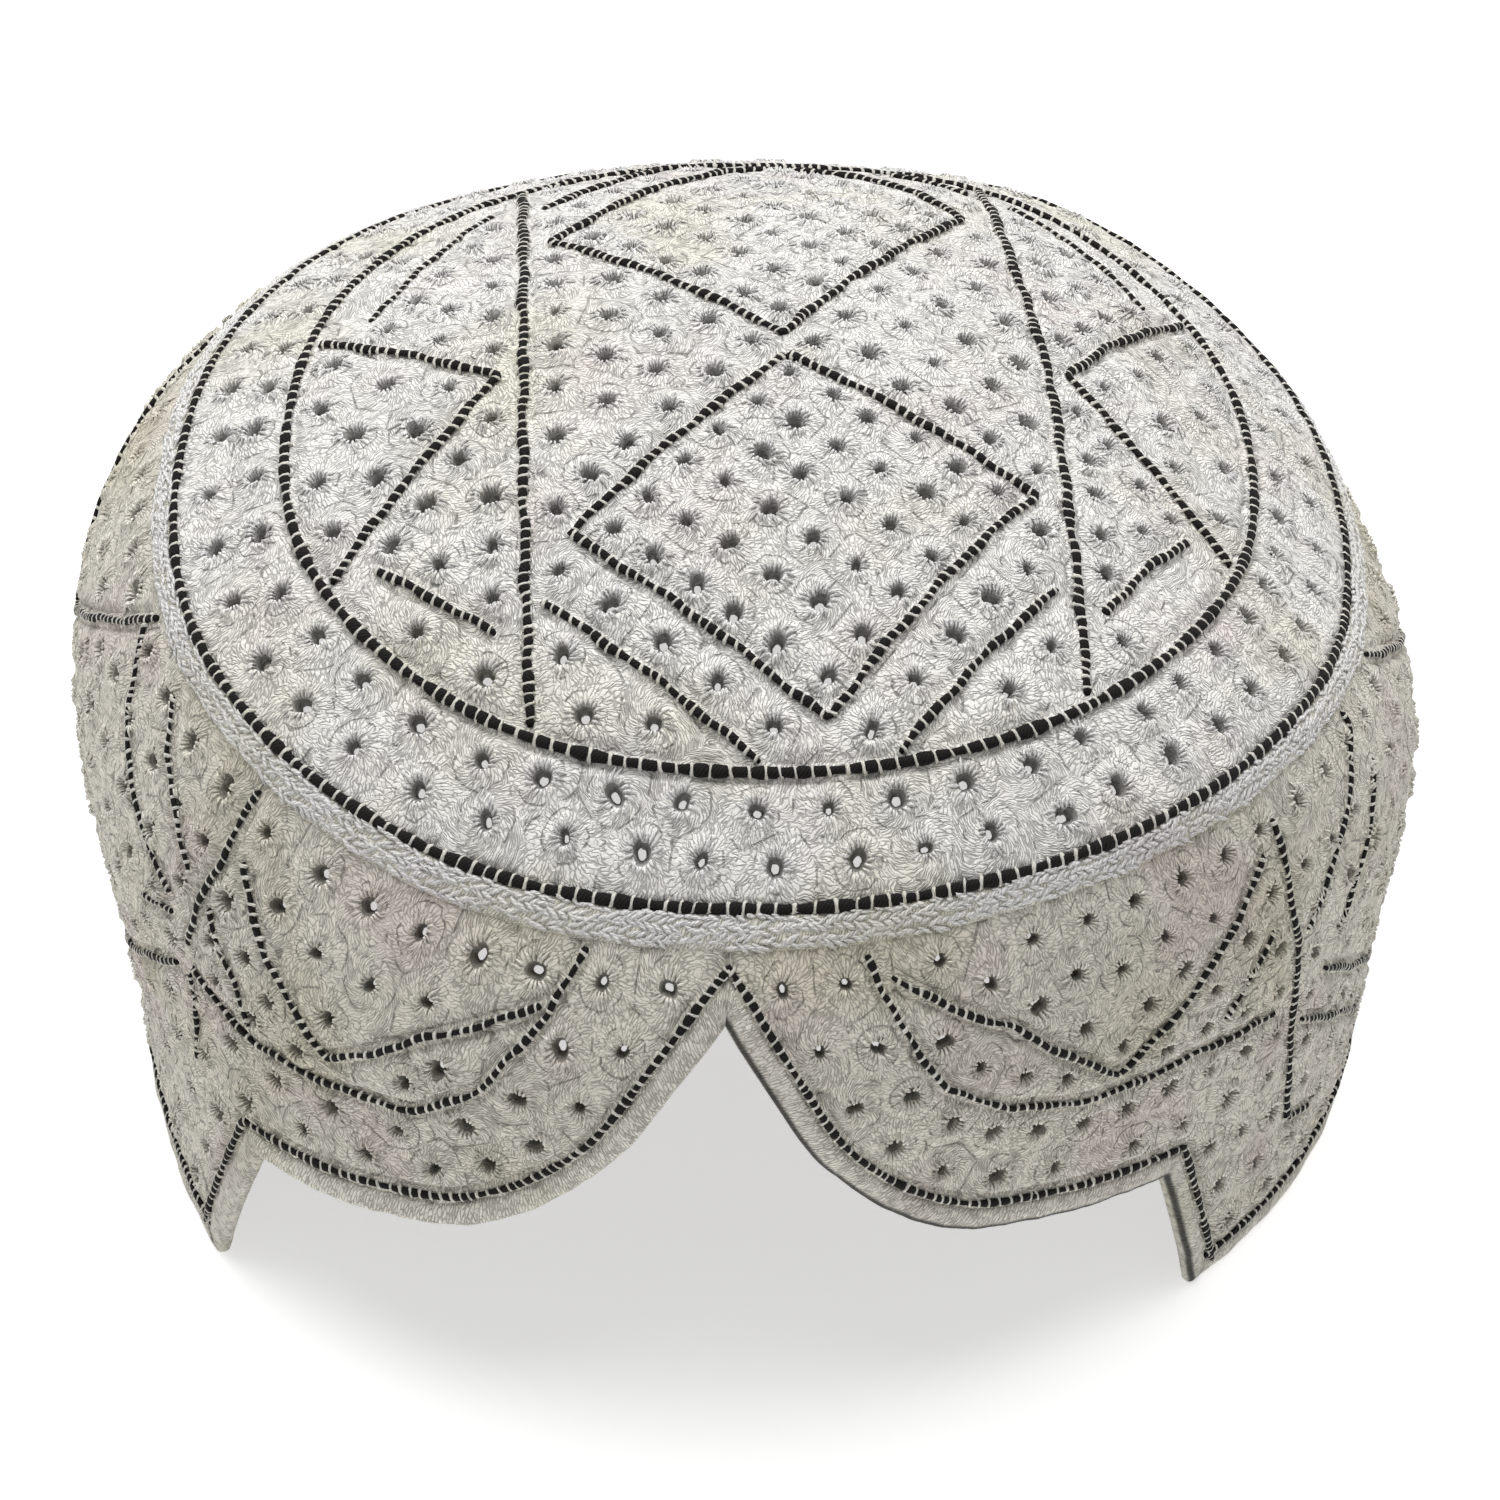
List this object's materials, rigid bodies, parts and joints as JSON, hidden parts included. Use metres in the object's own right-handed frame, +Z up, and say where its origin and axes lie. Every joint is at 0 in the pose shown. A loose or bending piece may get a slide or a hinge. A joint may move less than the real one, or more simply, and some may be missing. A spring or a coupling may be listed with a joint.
{
  "type": "sindhi cap",
  "caption": "Round stitched cloth cap with a domed crown, a deep side band cut open over the forehead, eyelets and couched black and white cords.",
  "frame": {"origin": "on the table under the middle of the cap's bounding box", "axes": "+Z up through the crown; the forehead cut-out faces -Y"},
  "size_m": [0.1916, 0.1909, 0.1069],
  "materials": {
    "cloth": "off-white cotton covered with buttonhole-stitched eyelets, matt",
    "hem_cloth": "rolled off-white cotton edge, overcast with thread, matt",
    "seam_thread": "white mercerised thread in chain stitch, slight sheen",
    "black_cord": "black cotton cord tied down with white thread at even steps, matt"
  },
  "bodies": {
    "root": {"arc_cord_left": "black_cord", "arc_cord_right": "black_cord", "chord_cord_left": "black_cord", "chord_cord_right": "black_cord", "corner_cord_back_left": "black_cord", "corner_cord_back_right": "black_cord", "corner_cord_front_left": "black_cord", "corner_cord_front_right": "black_cord", "crown_panel": "cloth", "crown_seam": "seam_thread", "hem_binding": "hem_cloth", "hem_cord": "black_cord", "inner_ring_cord": "black_cord", "outer_ring_cord": "black_cord", "petal_cord_left": "black_cord", "petal_cord_right": "black_cord", "petal_cord_side_1": "black_cord", "petal_cord_side_2": "black_cord", "petal_cord_side_3": "black_cord", "petal_cord_side_4": "black_cord", "petal_cord_side_5": "black_cord", "rhombus_cord_back": "black_cord", "rhombus_cord_front": "black_cord", "side_band": "cloth", "side_cord_back_left": "black_cord", "side_cord_back_right": "black_cord", "side_cord_front_left": "black_cord", "side_cord_front_right": "black_cord", "stem_cord_left": "black_cord", "stem_cord_right": "black_cord", "triangle_cord_left": "black_cord", "triangle_cord_right": "black_cord", "wave_cord": "black_cord"}
  },
  "joints": []
}
